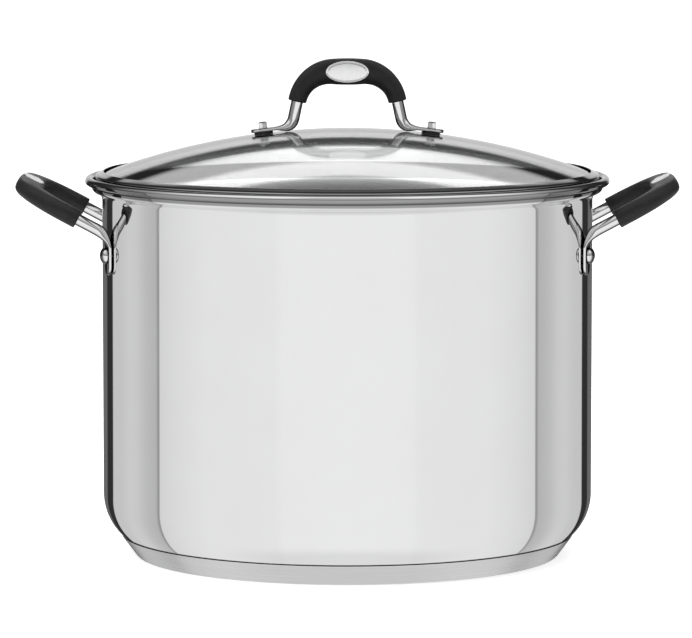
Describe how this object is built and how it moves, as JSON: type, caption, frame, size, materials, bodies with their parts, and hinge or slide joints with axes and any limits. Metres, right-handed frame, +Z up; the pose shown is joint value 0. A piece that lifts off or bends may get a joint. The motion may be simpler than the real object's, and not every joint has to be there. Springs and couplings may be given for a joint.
{
  "type": "water bath canner",
  "caption": "Tall polished steel stockpot for canning jars, with a domed glass lid, loop handles with black grips and a lift-out wire jar rack.",
  "frame": {"origin": "centre of the underside of the base, on the surface it stands on", "axes": "+Z up out of the pot; +X along the span of the two side handles; -Y is the side seen from the front"},
  "size_m": [0.4348, 0.3444, 0.327],
  "materials": {
    "polished_steel": "mirror polished stainless steel",
    "base_steel": "satin, turned",
    "base_core": "plain, sealed inside the base",
    "handle_steel": "mirror polished stainless steel",
    "inlay_steel": "bright satin with a polished rim",
    "band_steel": "polished stainless steel",
    "grip_silicone": "matt black silicone with a soft sheen",
    "gasket_rubber": "matt black",
    "lid_glass": "clear tempered glass",
    "rack_wire": "bright wire"
  },
  "bodies": {
    "pot": {"pot_body": "polished_steel", "base_core": "base_core", "base_cap": "base_steel", "handle_tube_left": "handle_steel", "handle_grip_left": "grip_silicone", "handle_inlay_left": "inlay_steel", "rivet_left_front": "handle_steel", "rivet_left_back": "handle_steel", "handle_tube_right": "handle_steel", "handle_grip_right": "grip_silicone", "handle_inlay_right": "inlay_steel", "rivet_right_front": "handle_steel", "rivet_right_back": "handle_steel"},
    "lid": {"lid_glass": "lid_glass", "lid_band": "band_steel", "lid_handle_tube": "handle_steel", "lid_handle_grip": "grip_silicone", "lid_handle_inlay": "inlay_steel", "lid_gasket_left": "gasket_rubber", "lid_screw_left": "handle_steel", "lid_washer_left": "gasket_rubber", "lid_nut_left": "handle_steel", "lid_gasket_right": "gasket_rubber", "lid_screw_right": "handle_steel", "lid_washer_right": "gasket_rubber", "lid_nut_right": "handle_steel"},
    "rack": {"rack_ring": "rack_wire", "rack_bar_1": "rack_wire", "rack_bar_2": "rack_wire", "rack_bar_3": "rack_wire", "rack_bar_4": "rack_wire", "rack_bar_5": "rack_wire", "rack_bar_6": "rack_wire", "rack_bar_7": "rack_wire", "rack_bar_8": "rack_wire", "rack_bar_9": "rack_wire", "rack_bar_10": "rack_wire", "rack_brace_left": "rack_wire", "rack_foot_left_front": "rack_wire", "rack_foot_left_back": "rack_wire", "rack_brace_right": "rack_wire", "rack_foot_right_front": "rack_wire", "rack_foot_right_back": "rack_wire"},
    "rack_bail_left": {"rack_bail_left": "rack_wire"},
    "rack_bail_right": {"rack_bail_right": "rack_wire"}
  },
  "joints": [
    {"name": "lid_lift", "type": "slide", "parent": "pot", "child": "lid", "axis": [0, 0, 1], "range_m": [0, 0.3]},
    {"name": "rack_lift", "type": "slide", "parent": "pot", "child": "rack", "axis": [0, 0, 1], "range_m": [0, 0.09]},
    {"name": "bail_left_fold", "type": "hinge", "parent": "rack", "child": "rack_bail_left", "pos_m": [-0.13513, 0, 0.022], "axis": [0, 1, 0], "range_deg": [0, 95]},
    {"name": "bail_right_fold", "type": "hinge", "parent": "rack", "child": "rack_bail_right", "pos_m": [0.13513, 0, 0.022], "axis": [0, -1, 0], "range_deg": [0, 95]}
  ]
}
